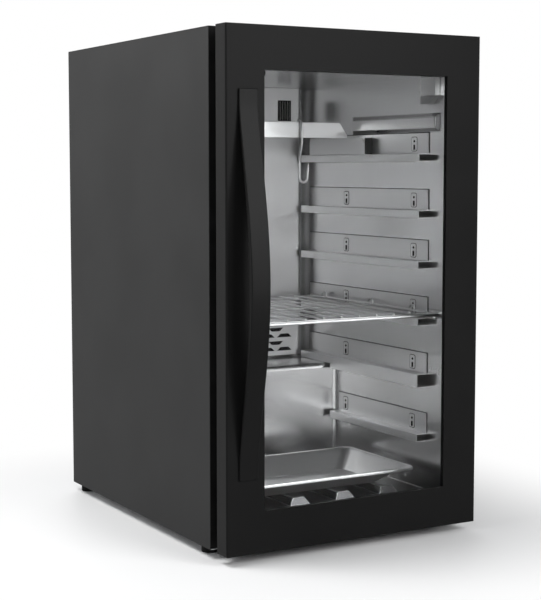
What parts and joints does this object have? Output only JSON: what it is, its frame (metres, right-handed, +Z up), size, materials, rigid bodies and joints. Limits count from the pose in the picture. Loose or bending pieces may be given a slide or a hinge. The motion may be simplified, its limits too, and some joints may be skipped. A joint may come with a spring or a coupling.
{
  "type": "dry aging cabinet",
  "caption": "Black undercounter dry aging cabinet with a glass door on right-hand hinges, a steel cold space, rails, wire shelf, hanging bar, hook and drip tray",
  "frame": {"origin": "on the floor, under the middle of the overall box with the handle included", "axes": "+X to the right of someone who faces the door, +Y to the back, +Z up"},
  "size_m": [0.488, 0.686, 0.85],
  "materials": {
    "black_steel": "satin black paint",
    "galvanised": "dull zinc",
    "stainless": "brushed, fairly bright",
    "foam": "matte foam",
    "black_plastic": "fine matte",
    "panel_plastic": "gloss black",
    "door_skin": "satin black",
    "handle_metal": "satin black",
    "glass": "clear",
    "seal": "matte",
    "aluminium": "plain mill finish",
    "pale_plastic": "matte",
    "lens": "frosted"
  },
  "bodies": {
    "cabinet": {"left_side_panel": "black_steel", "right_side_panel": "black_steel", "top_panel": "black_steel", "machine_cover": "black_steel", "compressor": "black_steel", "condenser_coil": "black_steel", "base_pan": "galvanised", "back_panel": "galvanised", "compressor_mount": "galvanised", "lamp_housing": "galvanised", "top_hinge": "galvanised", "bottom_hinge": "galvanised", "inner_liner": "stainless", "air_duct_cover": "stainless", "left_rail_1": "stainless", "left_rail_2": "stainless", "left_rail_3": "stainless", "left_rail_4": "stainless", "left_rail_5": "stainless", "left_rail_6": "stainless", "right_rail_1": "stainless", "right_rail_2": "stainless", "right_rail_3": "stainless", "right_rail_4": "stainless", "right_rail_5": "stainless", "right_rail_6": "stainless", "left_hanger_bracket": "stainless", "right_hanger_bracket": "stainless", "insulation_foam": "foam", "front_frame": "black_plastic", "fan_housing": "black_plastic", "power_gland": "black_plastic", "evaporation_tray": "black_plastic", "control_panel": "panel_plastic", "evaporator": "aluminium", "sensor_cover": "pale_plastic", "drain_tube": "pale_plastic", "lamp_lens": "lens"},
    "door": {"door_frame": "door_skin", "outer_glass": "glass", "glass_spacer": "black_plastic", "inner_glass": "glass", "door_inner_frame": "black_plastic", "door_gasket": "seal", "handle": "handle_metal", "handle_screw_upper": "galvanised", "handle_screw_lower": "galvanised", "top_hinge_bush": "pale_plastic", "bottom_hinge_bush": "pale_plastic"},
    "shelf": {"wire_shelf": "stainless"},
    "tray": {"drip_tray": "stainless"},
    "bar": {"hanging_bar": "stainless"},
    "hook": {"hanging_hook": "stainless"},
    "fan": {"fan_blades": "black_plastic"},
    "front_left": {"front_left_foot": "black_plastic"},
    "front_right": {"front_right_foot": "black_plastic"},
    "rear_left": {"rear_left_foot": "black_plastic"},
    "rear_right": {"rear_right_foot": "black_plastic"}
  },
  "joints": [
    {"name": "door_hinge", "type": "hinge", "parent": "cabinet", "child": "door", "pos_m": [0.232, -0.282, 0.43], "axis": [0, 0, 1], "range_deg": [0, 110]},
    {"name": "shelf_slide", "type": "slide", "parent": "cabinet", "child": "shelf", "axis": [0, 1, 0], "range_m": [-0.025, 0.015]},
    {"name": "tray_slide", "type": "slide", "parent": "cabinet", "child": "tray", "axis": [0, 1, 0], "range_m": [-0.06, 0.08]},
    {"name": "bar_lift", "type": "slide", "parent": "cabinet", "child": "bar", "axis": [0, 0, 1], "range_m": [0, 0.03]},
    {"name": "hook_slide", "type": "slide", "parent": "bar", "child": "hook", "axis": [1, 0, 0], "range_m": [-0.263, 0.072]},
    {"name": "fan_spin", "type": "hinge", "parent": "cabinet", "child": "fan", "pos_m": [0, 0.2168, 0.5107], "axis": [0, 1, 0], "continuous": true},
    {"name": "front_left_turn", "type": "hinge", "parent": "cabinet", "child": "front_left", "pos_m": [-0.22, -0.194, 0.01], "axis": [0, 0, 1], "continuous": true},
    {"name": "front_right_turn", "type": "hinge", "parent": "cabinet", "child": "front_right", "pos_m": [0.22, -0.194, 0.01], "axis": [0, 0, 1], "continuous": true},
    {"name": "rear_left_turn", "type": "hinge", "parent": "cabinet", "child": "rear_left", "pos_m": [-0.22, 0.323, 0.01], "axis": [0, 0, 1], "continuous": true},
    {"name": "rear_right_turn", "type": "hinge", "parent": "cabinet", "child": "rear_right", "pos_m": [0.22, 0.323, 0.01], "axis": [0, 0, 1], "continuous": true}
  ]
}
